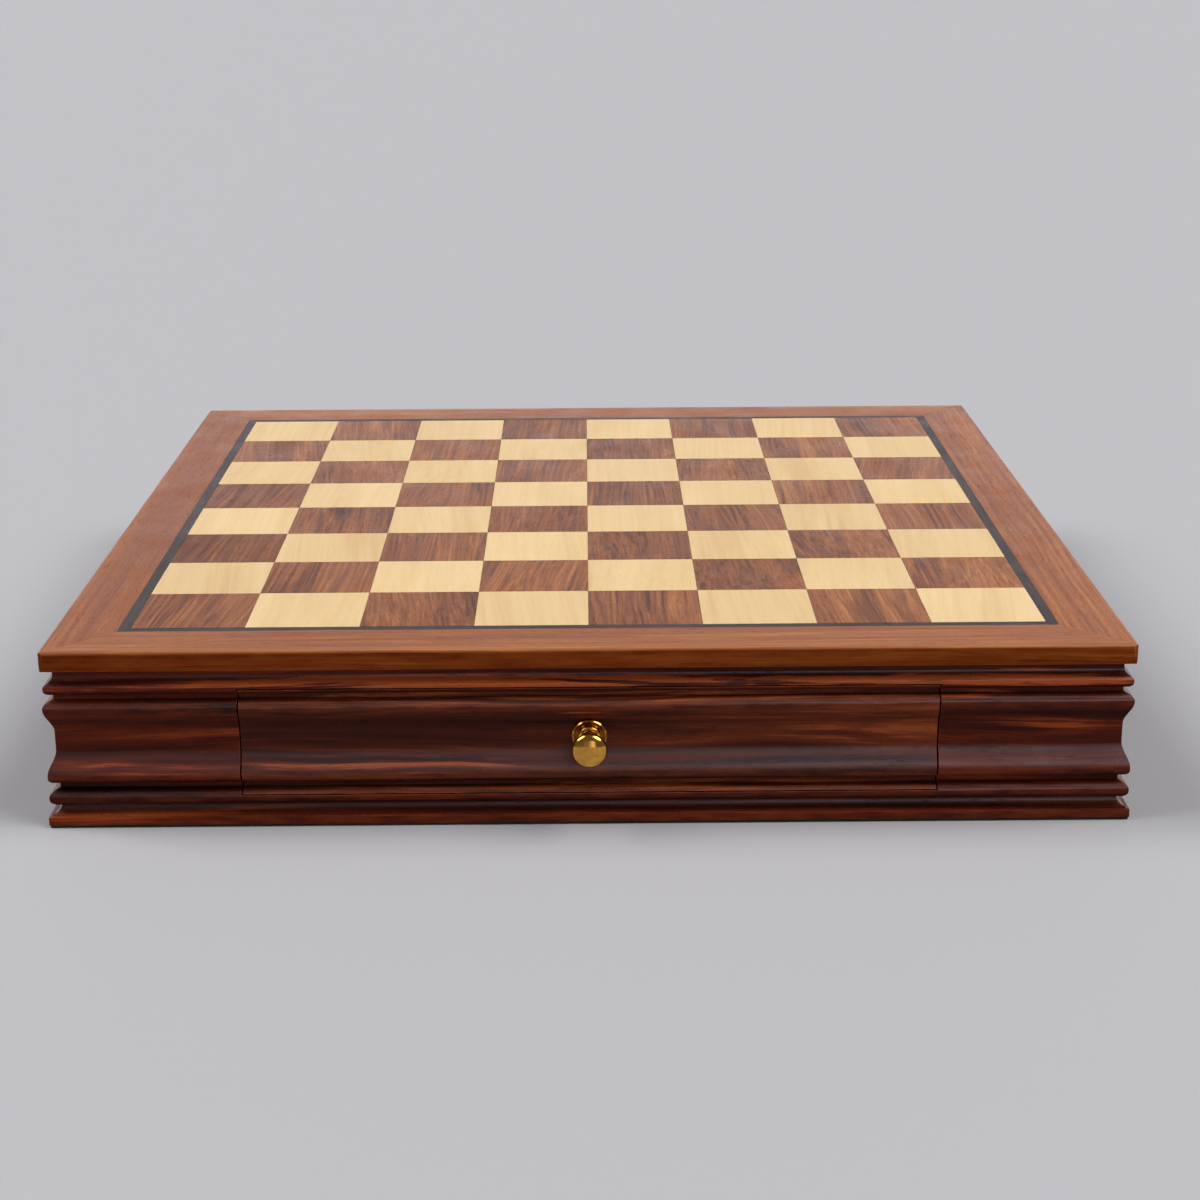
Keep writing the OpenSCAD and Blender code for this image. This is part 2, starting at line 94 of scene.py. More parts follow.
def wool_felt(name, dark, light):
    """Pressed wool: matted fibres in two tones, soft lumps and a little fuzz that catches the light."""
    finish, tree, shader = blank_finish(name)
    place = add_node(tree, "TexCoord").outputs["Object"]
    fibres = add_node(tree, "TexNoise", {"Vector": place, "Scale": 1400.0, "Detail": 4.0, "Distortion": 1.2})
    matting = add_node(tree, "TexNoise", {"Vector": place, "Scale": 120.0, "Detail": 3.0})
    both = add_node(tree, "Math", {0: fibres.outputs[0], 1: matting.outputs[0]}, operation="ADD")
    shade = figured(tree, both.outputs[0], 0.75, 1.25)
    tree.links.new(blended(tree, shade, tint(*dark), tint(*light)), shader.inputs["Base Color"])
    nap = add_node(tree, "Bump", {"Height": both.outputs[0], "Strength": 0.5, "Distance": 0.0004})
    tree.links.new(nap.outputs[0], shader.inputs["Normal"])
    shader.inputs["Roughness"].default_value = 0.95
    shader.inputs["Sheen Weight"].default_value = 0.35
    shader.inputs["Sheen Roughness"].default_value = 0.5
    shader.inputs["Specular IOR Level"].default_value = 0.2
    return finish


def edges_on(bm, point, facing, reach=1e-6):
    """The edges that lie in one plane."""
    point, facing = Vector(point), Vector(facing).normalized()
    return [e for e in bm.edges if all(abs((v.co - point).dot(facing)) < reach for v in e.verts)]


def soften(bm, edges, width, segments=3):
    """Takes the sharpness off some edges."""
    bmesh.ops.bevel(
        bm, geom=list(set(edges)), offset=width, segments=segments, profile=0.5, material=-1,
        affect="EDGES", offset_type="OFFSET", clamp_overlap=True,
    )


def set_down(bm, name, finish, body, crease=38):
    """Makes the finished mesh a piece that rides on its body, with creases where faces meet sharply."""
    bmesh.ops.remove_doubles(bm, verts=bm.verts, dist=1e-7)
    bmesh.ops.recalc_face_normals(bm, faces=bm.faces)
    for face in bm.faces:
        face.smooth = True
    for edge in bm.edges:
        edge.smooth = len(edge.link_faces) == 2 and edge.calc_face_angle() < radians(crease)
    mesh = bpy.data.meshes.new(name)
    bm.to_mesh(mesh)
    bm.free()
    mesh.materials.append(finish)
    piece = bpy.data.objects.new(name, mesh)
    bpy.context.scene.collection.objects.link(piece)
    piece.modifiers.new("even_shading", "WEIGHTED_NORMAL").keep_sharp = True
    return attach(piece, body)


def felt_sheet(low, high, wander, cells, lumps=0.0):
    """A cut sheet of felt between two corners, with a rounded, slightly wavering edge."""
    bm = bmesh.new()
    width, length, thick = (high[i] - low[i] for i in range(3))
    bmesh.ops.create_grid(bm, x_segments=cells, y_segments=max(4, round(cells * length / width)), size=0.5)
    bmesh.ops.scale(bm, vec=(width, length, 1), verts=bm.verts)
    bmesh.ops.translate(bm, vec=((low[0] + high[0]) / 2, (low[1] + high[1]) / 2, low[2]), verts=bm.verts)
    grown = bmesh.ops.extrude_face_region(bm, geom=bm.faces[:])["geom"]
    bmesh.ops.translate(bm, vec=(0, 0, thick), verts=[v for v in grown if isinstance(v, bmesh.types.BMVert)])
    rims = [e for e in bm.edges if len(e.link_faces) == 2 and e.calc_face_angle() > 1]
    soften(bm, [e for e in rims if abs(e.verts[0].co.z - e.verts[1].co.z) < thick / 2], thick * 0.3, 2)
    centre = (Vector(low) + Vector(high)) / 2
    for v in bm.verts:
        side = max(abs(v.co.x - centre.x) / width, abs(v.co.y - centre.y) / length) * 2
        if side > 0.99:
            inwards = Vector((centre.x - v.co.x, centre.y - v.co.y, 0)).normalized()
            v.co += inwards * wander * (0.5 + 0.5 * noise.noise(v.co * 90))
        elif lumps and v.co.z > centre.z:
            v.co.z -= lumps * (0.5 + 0.5 * noise.noise(v.co * 60))
    return bm


felt_half = half + plinth_out - felt_margin
base_felt = set_down(
    felt_sheet((-felt_half, -felt_half, 0), (felt_half, felt_half, felt_t), 0.5 * mm, 90),
    "felt_under_case", wool_felt("base_felt_wool", (22, 32, 26), (46, 60, 48)), "case",
)
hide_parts("base_felt")


# ---------------------------------------------------------------- Case boards
# Four moulded boards of rosewood, stained dark and varnished, with mitred and glued corners. The
# front and the back one have a sawn opening for a drawer, and all have a rebate for the base panel.
case_z = felt_t
board_z = 81 * mm  # where the playing board lies on the case
case_t = 20 * mm
base_top = 7.5 * mm
base_rebate = 8 * mm
inner = half - case_t
opening_x = 171.3 * mm
opening_low, opening_high = 16.2 * mm, 71.4 * mm
case_arris = 0.25 * mm
sharp = 0.5  # radians between two faces, from where their edge counts as an arris

# The moulding from the board down: how far behind the rails each member ends, how far it falls,
# and its line. A round leaves level and drops, a hollow drops and runs out level, a wave is
# upright at both ends, and a sweep drops and then leans out to the arris that it ends in.
moulding = (
    (5.4, 3.4, "flat"),
    (1.2, 4.7, "sweep"),
    (1.2, 1.7, "flat"),
    (5.2, 3.0, "hollow"),
    (5.2, 2.6, "flat"),
    (0.4, 3.5, "round"),
    (0.4, 0.4, "flat"),
    (4.6, 12.8, "wave"),
    (4.6, 9.3, "flat"),
    (0.4, 12.8, "wave"),
    (0.4, 1.2, "flat"),
    (5.2, 3.3, "hollow"),
    (5.2, 2.8, "flat"),
    (0.4, 3.6, "round"),
    (0.4, 1.1, "flat"),
    (5.2, 4.0, "hollow"),
    (1.2, 4.4, "hollow"),
    (1.2, 0.6, "flat"),
    (-0.5, 0.3, "flat"),
    (-0.5, 4.0, "flat"),
)


def moulded_line(steps=10):
    """The outer face of a case board from the top down, as points (depth behind the rails, height)."""
    quarter, wave = 0.5523, 0.3642  # handles that draw a quarter of an ellipse, and half a sine wave
    here = Vector((moulding[0][0] * mm, board_z))
    line = [here]
    for depth, fall, way in moulding:
        there = Vector((depth * mm, here.y - fall * mm))
        level, drop = Vector((there.x - here.x, 0)), Vector((0, there.y - here.y))
        chord = there - here
        handles = {
            "flat": (chord / 3, chord / 3),
            "round": (level * 0.45, drop * 0.45),
            "hollow": (drop * quarter, level * quarter),
            "wave": (drop * wave, drop * wave),
            "sweep": (drop * 0.45, chord * 0.3),
        }[way]
        count = 2 if way == "flat" else steps
        curve = interpolate_bezier(here, here + handles[0], there - handles[1], there, count)
        line += [Vector(p[:2]) for p in curve[1:]]
        here = there
    return line


def length_of(section, length):
    """A straight length of wood with that section, along the front of the box, cut square."""
    bm = bmesh.new()
    ring = [bm.verts.new((-length / 2, depth - half, height)) for depth, height in section]
    end = bm.faces.new(ring)
    grown = bmesh.ops.extrude_face_region(bm, geom=[end])["geom"]
    bmesh.ops.translate(bm, vec=(length, 0, 0), verts=[v for v in grown if isinstance(v, bmesh.types.BMVert)])
    bmesh.ops.holes_fill(bm, edges=bm.edges, sides=0)
    return bm


def saw(bm, point, facing):
    """Saws the mesh through and drops the part on the side that the plane faces."""
    geom = bm.verts[:] + bm.edges[:] + bm.faces[:]
    cut = bmesh.ops.bisect_plane(bm, geom=geom, dist=1e-7, plane_co=point, plane_no=facing, clear_outer=True)
    rim = [e for e in cut["geom_cut"] if isinstance(e, bmesh.types.BMEdge)]
    bmesh.ops.holes_fill(bm, edges=rim, sides=0)


def block(low, high):
    """A plain block between two corners, as it comes from the saw."""
    bm = bmesh.new()
    low, high = Vector(low), Vector(high)
    place = Matrix.Translation((low + high) / 2) @ Matrix.Diagonal((*(high - low), 1))
    bmesh.ops.create_cube(bm, size=1, matrix=place)
    return bm


def carve(bm, *tools):
    """Cuts the tools' shapes out of the mesh."""
    for tool in tools:
        pair = []
        for shape in (bm, tool):
            bmesh.ops.recalc_face_normals(shape, faces=shape.faces)
            mesh = bpy.data.meshes.new("bench")
            shape.to_mesh(mesh)
            pair.append(bpy.data.objects.new("bench", mesh))
            bpy.context.scene.collection.objects.link(pair[-1])
        cut = pair[0].modifiers.new("cut", "BOOLEAN")
        cut.object, cut.operation, cut.solver = pair[1], "DIFFERENCE", "EXACT"
        made = bpy.data.meshes.new_from_object(pair[0].evaluated_get(bpy.context.evaluated_depsgraph_get()))
        bm.clear()
        bm.from_mesh(made)
        tool.free()
        for mesh in [o.data for o in pair] + [made]:
            bpy.data.meshes.remove(mesh)
    bmesh.ops.dissolve_degenerate(bm, dist=1e-7, edges=bm.edges)
    return bm


def mitre(bm):
    """Cuts both ends of a length along the front to 45 degrees."""
    saw(bm, (0, 0, 0), (1, 1, 0))
    saw(bm, (0, 0, 0), (-1, 1, 0))


SIDES = ("front", "right", "back", "left")  # anticlockwise, a quarter turn each


def to_side(bm, side):
    """Turns a piece made for the front to its own side."""
    quarter_turns = Matrix.Rotation(SIDES.index(side) * pi / 2, 3, "Z")
    bmesh.ops.rotate(bm, cent=(0, 0, 0), matrix=quarter_turns, verts=bm.verts)
    return bm


def timber(
    name, tones, turn=0.0, shift=(0, 0, 0), bands=(1.2, 26), veins=(5.0, 170), rings=9, mix=(0.3, 0.3, 0.4),
    swirl=0.012, fibre=0.16, pores=0.5, polish=0.34, shine=(0.3, 0.3), relief=0.16, stain_and_shade_tint=(112, 76, 62),
    marks=(), own=None,
):
    """Solid wood, its grain along X turned by that angle, or along the piece's own attribute. The
    tones go from the darkest vein to the palest streak, and broad bands, growth rings and fine
    veins share them out. The marks are places where this board is paler, or darker as at a knot;
    some paler ones are painted highlights. The tint that darkens is the colour of gathered stain
    and of painted shade, and the shine goes from upright faces to ones that look up, less where
    stain lies or shade is painted."""
    finish, tree, shader = blank_finish(name)
    if own:
        place = add_node(tree, "Attribute", attribute_name=own).outputs["Vector"]
    else:
        place = add_node(tree, "TexCoord").outputs["Object"]
        laid = {"Vector": place, "Location": shift, "Rotation": (0, 0, radians(-turn))}
        place = add_node(tree, "Mapping", laid).outputs[0]

    def along_grain(where, along, across, detail, roughness=0.5, distortion=0.0):
        drawn = add_node(tree, "Mapping", {"Vector": where, "Scale": (along, across, across)}).outputs[0]
        settings = {"Vector": drawn, "Scale": 1.0, "Detail": detail, "Roughness": roughness}
        return add_node(tree, "TexNoise", settings | {"Distortion": distortion}).outputs

    def reckon(operation, first, second=0.5, **options):
        return add_node(tree, "Math", {0: first, 1: second}, operation=operation, **options).outputs[0]

    # The tree didn't grow straight: the grain wanders sideways along its length.
    drift = add_node(tree, "VectorMath", {0: along_grain(place, 5.0, 22.0, 2.0)["Color"], 1: (0.5, 0.5, 0.5)},
                     operation="SUBTRACT").outputs[0]
    drift = add_node(tree, "VectorMath", {0: drift, 1: (0.0, swirl, swirl)}, operation="MULTIPLY").outputs[0]
    wandering = add_node(tree, "VectorMath", {0: place, 1: drift}, operation="ADD").outputs[0]

    wide = figured(tree, along_grain(wandering, bands[0], bands[1], 2.0, 0.5, 0.3)[0], 0.3, 0.7)
    ring = reckon("PINGPONG", reckon("MULTIPLY", wide, float(rings)), 1.0)
    fine = figured(tree, along_grain(wandering, veins[0], veins[1], 5.0, 0.62, 0.2)[0], 0.3, 0.7)
    thread = along_grain(wandering, 22.0, 1500.0, 2.0)[0]
    figure = reckon("ADD", reckon("MULTIPLY", wide, mix[0]), reckon("MULTIPLY", ring, mix[1]))
    figure = reckon("ADD", figure, reckon("MULTIPLY", fine, mix[2]))
    for spot, size, lift in marks:
        around = {"Vector": add_node(tree, "TexCoord").outputs["Object"], "Location": spot, "Scale": size}
        near = add_node(tree, "Mapping", around, vector_type="TEXTURE").outputs[0]
        away = add_node(tree, "VectorMath", {0: near}, operation="LENGTH").outputs["Value"]
        ragged = reckon("ADD", away, along_grain(place, 40.0, 500.0, 3.0)[0])
        streaky = figured(tree, fine, 0.3, 0.75)
        amount = figured(tree, ragged, 0.6, 1.6, lift, 0.0)
        figure = reckon("ADD", figure, reckon("MULTIPLY", amount, streaky))
    ramp = add_node(tree, "ValToRGB", {0: figure})
    stops = ramp.color_ramp.elements
    while len(stops) < len(tones):
        stops.new(0.5)
    for i, tone in enumerate(tones):
        stops[i].position = 0.2 + 0.6 * i / (len(tones) - 1)
        stops[i].color = tint(*tone)
    colour = blended(tree, figured(tree, thread, 0.3, 0.7, 0.0, fibre), ramp.outputs[0], (0, 0, 0, 1))

    # Open pores: short dark dashes along the grain.
    dash = along_grain(wandering, 130.0, 2300.0, 1.0)[0]
    pore = figured(tree, dash, 0.64, 0.72, 0.0, pores)
    colour = blended(tree, pore, colour, tint(*[c * 0.4 for c in tones[0]]))

    # Darker where stain gathers and shade is painted in; lighter where rubbed and highlights are painted.
    stain_and_shade = add_node(tree, "Attribute", attribute_name="stain_and_shade").outputs["Fac"]
    colour = blended(tree, stain_and_shade, colour, blended(tree, 1.0, colour, tint(*stain_and_shade_tint), "MULTIPLY"))
    patches = figured(tree, along_grain(place, 60.0, 260.0, 3.0)[0], 0.35, 0.65)
    rubbed_and_highlit = reckon("MULTIPLY", add_node(tree, "Attribute", attribute_name="rub_and_highlight").outputs["Fac"], patches)
    colour = blended(tree, rubbed_and_highlit, colour, tint(*tones[-1]))
    tree.links.new(colour, shader.inputs["Base Color"])

    smear = add_node(tree, "TexNoise", {"Vector": place, "Scale": 38.0, "Detail": 3.0}).outputs[0]
    gloss = reckon("ADD", figured(tree, smear, 0.3, 0.7, polish - 0.05, polish + 0.07), pore, use_clamp=True)
    tree.links.new(gloss, shader.inputs["Roughness"])
    ripple = add_node(tree, "TexNoise", {"Vector": place, "Scale": 160.0, "Detail": 1.0}).outputs[0]
    sunk = reckon("SUBTRACT", reckon("ADD", thread, ripple), pore)
    surface = add_node(tree, "Bump", {"Height": sunk, "Strength": relief, "Distance": 0.0003})
    tree.links.new(surface.outputs[0], shader.inputs["Normal"])
    facing = add_node(tree, "NewGeometry").outputs["Normal"]
    looks_up = add_node(tree, "SeparateXYZ", {0: facing}).outputs["Z"]
    # Less gloss where stain lies or shade is painted in.
    clear_of_stain_and_shade = figured(tree, stain_and_shade, 0.0, 0.8, 1.0, 0.2)
    level = reckon("MULTIPLY", figured(tree, looks_up, 0.05, 0.35, *shine), clear_of_stain_and_shade)
    tree.links.new(level, shader.inputs["Specular IOR Level"])
    return finish


def paint_wear_and_shade(piece, arris, arris_wear_and_highlight=0.6, nose_wear_and_highlight=0.2, hollow=0.25, under=0.5, low=0.15, upright=0.0):
    """Paints stain and shade: darker in the hollows, on what faces down, close to the table and on
    upright faces. This is mostly painted shade, with some real gathered stain in the hollows.
    Paints lighter lines too, part wear and part painted highlight: a little along the noses, and
    more on the arrises, which are the faces narrower than that."""
    deep, nose_in, low_z, low_reach = 5 * mm, 1.5 * mm, 34 * mm, 28 * mm
    stain_and_shade = piece.data.attributes.new("stain_and_shade", "FLOAT", "CORNER")
    rub_and_highlight = piece.data.attributes.new("rub_and_highlight", "FLOAT", "CORNER")
    normals = piece.data.corner_normals
    for face in piece.data.polygons:
        points = [piece.data.vertices[i].co for i in face.vertices]
        widths = sorted((a - b).length for a, b in zip(points, points[1:] + points[:1]))
        narrow = len(points) == 4 and widths[1] < arris
        for corner, place in zip(face.loop_indices, points):
            depth = max(0.0, half - max(abs(place.x), abs(place.y)))
            rise = normals[corner].vector.z
            # Painted shade: darker in the hollows (partly real stain), on faces that look down, near the
            # table and on upright faces.
            undarkened = 1 - hollow * min(1.0, depth / deep) ** 1.5
            undarkened *= 1 - under * min(1.0, max(0.0, -1.6 * rise))
            undarkened *= 1 - low * min(1.0, max(0.0, (low_z - place.z) / low_reach))
            undarkened *= 1 - upright * (1 - abs(rise))
            stain_and_shade.data[corner].value = 1 - undarkened
            # Lighter on the arrises and the noses: part wear, part painted highlight.
            rub_and_highlight.data[corner].value = arris_wear_and_highlight if narrow else nose_wear_and_highlight * max(0.0, 1 - depth / nose_in)


case_tones = ((38, 12, 8), (62, 20, 11), (89, 30, 15), (119, 45, 19), (178, 84, 38))
case_figure = dict(
    bands=(1.8, 44), veins=(5.0, 240), rings=3, mix=(0.42, 0.14, 0.4), swirl=0.014, polish=0.27,
    shine=(0.1, 0.65), relief=0.06,
)
case_section = moulded_line() + [
    Vector(p) for p in (
        (case_t - base_rebate, case_z), (case_t - base_rebate, base_top),
        (case_t, base_top), (case_t, board_z),
    )
]
# Paler and darker places in the front board's wood, the knot among them; two are painted highlights.
front_marks_and_highlights = (
    ((-0.177, -0.265, 0.0618), (0.010, 0.02, 0.0024), -3.0),
    ((-0.190, -0.265, 0.0630), (0.026, 0.02, 0.0024), 0.3),
    ((0.188, -0.265, 0.0645), (0.024, 0.02, 0.0024), 0.9),
    ((-0.218, -0.265, 0.0300), (0.045, 0.02, 0.0036), 0.5),
    # The next two are painted highlights along the top bead.
    ((0.225, -0.265, 0.0735), (0.050, 0.02, 0.0040), 1.2),
    ((-0.020, -0.265, 0.0733), (0.240, 0.02, 0.0038), 1.4),
    ((0.215, -0.265, 0.0490), (0.050, 0.02, 0.0060), 0.35),
)
case_woods = {
    "front": timber("case_wood_front", case_tones, **case_figure, marks=front_marks_and_highlights),
    "back": timber("case_wood_back", case_tones, **case_figure, shift=(3.1, 0.2, 0.4)),
    "right": timber("case_wood_right", case_tones, **case_figure, turn=90, shift=(1.7, 0.5, 0.1)),
    "left": timber("case_wood_left", case_tones, **case_figure, turn=90, shift=(5.2, 0.9, 0.7)),
}
for side in SIDES:
    board = length_of(case_section, 2 * (half + plinth_out))
    mitre(board)
    rims = edges_on(board, (0, 0, 0), (1, 1, 0)) + edges_on(board, (0, 0, 0), (-1, 1, 0))
    if side in ("front", "back"):
        carve(board, block((-opening_x, -2 * half, opening_low), (opening_x, 1 * mm - inner, opening_high)))
        rims = [e for s in (-1, 1) for e in edges_on(board, (0, 0, 0), (s, 1, 0))]
        rims += [e for s in (-1, 1) for e in edges_on(board, (s * opening_x, 0, 0), (1, 0, 0))]
        rims += [e for z in (opening_low, opening_high) for e in edges_on(board, (0, 0, z), (0, 0, 1))]
        rims = [e for e in set(rims) if e.calc_face_angle(0) > sharp]
    soften(board, rims, case_arris, 2)
    to_side(board, side)
    piece = set_down(board, "case_board_" + side, case_woods[side], "case")
    # Painted shade in the hollows, under the members and near the table; wear and painted highlight on noses
    # and arrises.
    paint_wear_and_shade(piece, 0.3 * mm, 0.45)
    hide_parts(side + "_panel")


# ---------------------------------------------------------------- Inner boards of the case
# The base panel in its rebates, the wall between the drawers, the guide boards beside them, the
# runners and kickers along the guides and the glue blocks: plain pale wood, planed and oiled.
inner_tones = ((150, 108, 66), (178, 134, 86), (196, 154, 104), (212, 172, 122))
inner_woods = [
    timber("inner_wood_along_x", inner_tones, polish=0.6, pores=0.25, fibre=0.1),
    timber("inner_wood_along_y", inner_tones, turn=90, polish=0.6, pores=0.25, fibre=0.1),
    timber("inner_wood_upright", inner_tones, turn=90, shift=(0.4, 2.2, 0.3), polish=0.6),
]
core_wood = timber("core_wood", ((176, 138, 92), (194, 158, 110), (206, 172, 124)), polish=0.62, pores=0.2)
for node, wood in {"base_panel": core_wood, "board_core": core_wood, "middle_wall": inner_woods[0]}.items():
    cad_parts[node].data.materials.clear()
    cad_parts[node].data.materials.append(wood)
for hand in ("left", "right"):
    parts = [f"{end}_{hand}_{part}" for end in ("front", "back") for part in ("runner", "kicker", "block")]
    for node in [hand + "_guide"] + parts:
        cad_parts[node].data.materials.clear()
        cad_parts[node].data.materials.append(inner_woods[2 if node.endswith("block") else 1])


# ---------------------------------------------------------------- Screws
# Countersunk steel wood screws in the base panel and up through the glue blocks, and the slotted
# machine screws that hold the knobs from inside the drawers.
def turned_steel(name):
    """Zinc-plated steel with fine turning lines and a little tarnish."""
    finish, tree, shader = blank_finish(name)
    place = add_node(tree, "TexCoord").outputs["Object"]
    tarnish = add_node(tree, "TexNoise", {"Vector": place, "Scale": 420.0, "Detail": 4.0}).outputs[0]
    lines = add_node(tree, "TexNoise", {"Vector": place, "Scale": 2600.0, "Detail": 2.0}).outputs[0]
    colour = blended(tree, figured(tree, tarnish, 0.35, 0.7), tint(190, 192, 196), tint(138, 134, 128))
    tree.links.new(colour, shader.inputs["Base Color"])
    tree.links.new(figured(tree, tarnish, 0.3, 0.7, 0.22, 0.42), shader.inputs["Roughness"])
    scratches = add_node(tree, "Bump", {"Height": lines, "Strength": 0.12, "Distance": 0.0001})
    tree.links.new(scratches.outputs[0], shader.inputs["Normal"])
    shader.inputs["Metallic"].default_value = 1.0
    return finish


screw_steel = turned_steel("screw_steel")
for node in ("board_screws", "base_screws", "front_drawer_knob_screw", "back_drawer_knob_screw"):
    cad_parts[node].data.materials.clear()
    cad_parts[node].data.materials.append(screw_steel)


# ---------------------------------------------------------------- Frame rails of the board
# Four lengths of lighter rosewood round the squares, glued on the core's tongue with mitred
# corners. Their outer arrises are rounded over by hand, and so are the four corners.
board_t = 10 * mm
rail_w = 32.5 * mm
edge_r = 1.4 * mm
corner_r = 3 * mm
corner_cuts = 5  # from a side to the mitre
joint_arris = 0.12 * mm
tongue_l, tongue_t = 6 * mm, 3 * mm
square_t = 3 * mm
core_top = board_z + board_t - square_t
top = board_z + board_t
tongue_z = board_z + (core_top - board_z - tongue_t) / 2

rail_tones = ((139, 70, 25), (153, 83, 29), (165, 93, 34), (176, 104, 40), (193, 122, 54))
rail_marks = {"left": (((-0.252, -0.02, 0.091), (0.03, 0.36, 0.02), -0.4),)}
rail_section = (
    (rail_w, board_z), (0, board_z), (0, top), (rail_w, top), (rail_w, tongue_z + tongue_t),
    (rail_w - tongue_l, tongue_z + tongue_t), (rail_w - tongue_l, tongue_z), (rail_w, tongue_z),
)
for number, side in enumerate(SIDES):
    rail = length_of(rail_section, 2 * half)
    outer = edges_on(rail, (0, -half, 0), (0, 1, 0))
    soften(rail, [e for e in outer if abs(e.verts[0].co.x - e.verts[1].co.x) > half], edge_r, 5)
    mitre(rail)
    for s in (-1, 1):
        for k in range(corner_cuts):
            start, middle = [s * pi / 4 * (k + more) / corner_cuts for more in (0, 0.5)]
            reach = Matrix.Rotation(start, 3, "Z") @ Vector((0, -corner_r, 0))
            facing = Matrix.Rotation(middle, 3, "Z") @ Vector((0, -1, 0))
            saw(rail, Vector((s, -1, 0)) * (half - corner_r) + reach, facing)
    joints = [e for s in (-1, 1) for e in edges_on(rail, (0, 0, 0), (s, 1, 0), 2e-6)]
    soften(rail, [e for e in joints if all(v.co.z > top - 1e-5 for v in e.verts)], joint_arris, 1)
    to_side(rail, side)
    tree_part = (1.3 * number, 0.31 * number, 0.2)
    wood = timber(f"frame_wood_{side}", rail_tones, turn=90 * (number % 2), shift=tree_part,
                  bands=(1.6, 40), veins=(5.0, 420), rings=5, mix=(0.16, 0.06, 0.78), swirl=0.012,
                  polish=0.32, pores=0.4, fibre=0.2, shine=(0.06, 0.8), stain_and_shade_tint=(170, 104, 100),
                  marks=rail_marks.get(side, ()))
    piece = set_down(rail, "board_rail_" + side, wood, "case")
    # Painted shade on the rail's upright faces; a little wear and painted highlight on its nose and arrises.
    paint_wear_and_shade(piece, 0.5 * mm, 0.3, nose_wear_and_highlight=0.1, upright=0.85)
    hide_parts(side + "_rail")


# ---------------------------------------------------------------- Inlay
# A strip of ebonised wood, 5.5 mm wide, round the squares, mitred at the corners.
inlay_w = 5.5 * mm
inlay_arris = 0.08 * mm
glue_line = 0.1 * mm
core_half = half - rail_w
ebony_tones = ((36, 25, 22), (48, 35, 31), (62, 47, 42))
ebony = timber("inlay_ebony", ebony_tones, polish=0.36, pores=0.3, fibre=0.1, shine=(0.3, 0.6))
ebony_y = timber("inlay_ebony_y", ebony_tones, turn=90, polish=0.36, pores=0.3, fibre=0.1, shine=(0.3, 0.6))
for number, side in enumerate(SIDES):
    strip = block((-core_half, -core_half, core_top), (core_half, -core_half + inlay_w - glue_line, top))
    mitre(strip)
    soften(strip, [e for e in strip.edges if all(v.co.z > top - 1e-6 for v in e.verts)], inlay_arris, 1)
    to_side(strip, side)
    piece = set_down(strip, "board_inlay_" + side, (ebony, ebony_y)[number % 2], "case")
    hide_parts(side + "_inlay")


# ---------------------------------------------------------------- Squares
# Sixty-four squares of 57 mm, sawn from 3 mm rosewood and maple and glued edge to edge on the
# core. The grain of all of them runs from front to back, and no two show the same figure.
square_w = 57 * mm
square_arris = 0.09 * mm
ranks = 8
darkest = (0, 2)  # one square is much darker than the others: its place from the left and the front
field = ranks * square_w / 2
chance = random.Random(64)

maple = timber(
    "light_square_wood", ((218, 180, 127), (225, 191, 136), (229, 196, 142), (234, 201, 149)), own="grain",
    bands=(3, 24), veins=(4, 260), rings=4, mix=(0.45, 0.15, 0.4), swirl=0.006, polish=0.36, pores=0.06,
    fibre=0.06, relief=0.1, shine=(0.1, 0.25),
)
rosewood = timber(
    "dark_square_wood", ((85, 41, 22), (118, 63, 30), (142, 81, 39), (159, 95, 47), (182, 115, 62)),
    own="grain",
    bands=(3, 26), veins=(4, 520), rings=5, mix=(0.32, 0.14, 0.54), swirl=0.018, polish=0.3, pores=0.3,
    fibre=0.16, shine=(0.1, 0.3),
)
for parity, name, wood, node in (
    (1, "board_squares_light", maple, "light_squares"),
    (0, "board_squares_dark", rosewood, "dark_squares"),
):
    field_bm = bmesh.new()
    run = field_bm.verts.layers.float_vector.new("grain")
    tone = field_bm.verts.layers.float.new("stain_and_shade")
    for i in range(ranks):
        for j in range(ranks):
            if (i + j) % 2 != parity:
                continue
            low = Vector((i * square_w - field, j * square_w - field, core_top))
            low += Vector((glue_line / 2, glue_line / 2, 0))
            high = low + Vector((square_w - glue_line, square_w - glue_line, square_t))
            square = block(low, high)
            rims = [e for e in square.edges if all(v.co.z > top - 1e-6 for v in e.verts)]
            soften(square, rims, square_arris, 1)
            mesh = bpy.data.meshes.new("bench")
            square.to_mesh(mesh)
            square.free()
            before = len(field_bm.verts)
            field_bm.from_mesh(mesh)
            bpy.data.meshes.remove(mesh)
            field_bm.verts.ensure_lookup_table()
            lean = Matrix.Rotation(pi / 2 + chance.gauss(0, 0.06), 3, "Z")
            lean = lean @ Matrix.Rotation(chance.gauss(0, 0.05), 3, "X")
            start = Vector([chance.uniform(-9, 9) for _ in range(3)])
            shade = max(0.0, chance.gauss(0.06, 0.07) if parity == 0 else chance.gauss(0.03, 0.03))
            if (i, j) == darkest:
                shade = 0.4
            for v in field_bm.verts[before:]:
                v[run] = lean @ v.co + start
                v[tone] = shade
    piece = set_down(field_bm, name, wood, "case")
    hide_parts(node)


